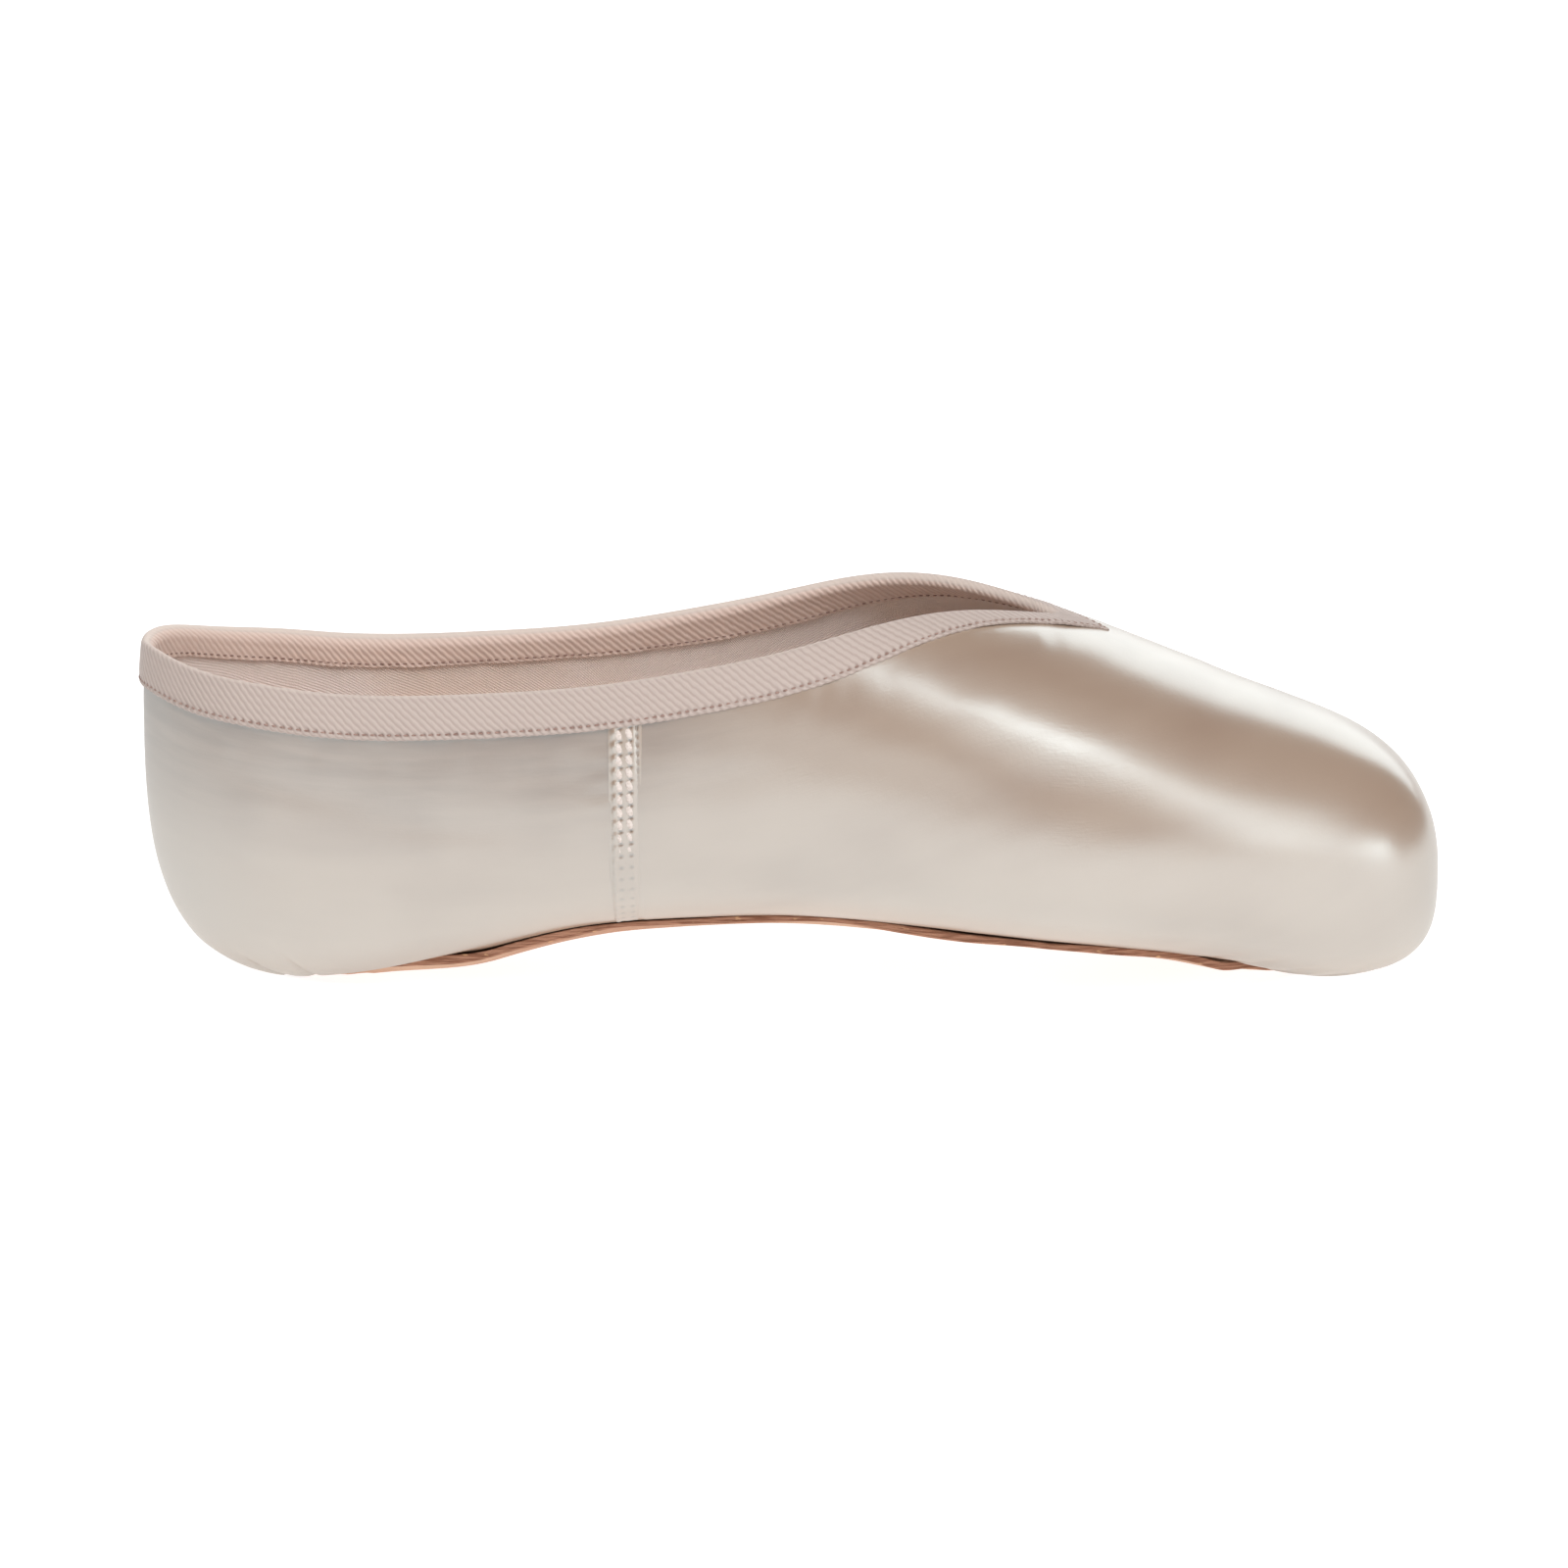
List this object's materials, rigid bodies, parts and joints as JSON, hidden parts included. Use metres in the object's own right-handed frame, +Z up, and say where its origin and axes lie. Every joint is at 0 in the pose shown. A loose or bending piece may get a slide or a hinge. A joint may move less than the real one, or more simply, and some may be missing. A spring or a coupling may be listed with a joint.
{
  "type": "pointe shoe",
  "caption": "Satin pointe shoe with a V-cut throat, stiff toe box, twill tape collar, stitched side seams and a leather outsole.",
  "frame": {"origin": "middle of the shoe's length and width, on the floor that it stands on", "axes": "+X from the heel to the toe, +Y to the shoe's left, +Z up"},
  "size_m": [0.2408, 0.076, 0.0702],
  "materials": {
    "satin": "satin over canvas, glossy along the folds",
    "sole_leather": "brown split leather with a cut edge",
    "sock_lining": "matt cotton",
    "twill_tape": "matt diagonal twill"
  },
  "bodies": {
    "root": {"upper": "satin", "outsole": "sole_leather", "insole": "sock_lining", "binding": "twill_tape", "side_seam_right": "satin", "side_seam_left": "satin"}
  },
  "joints": []
}
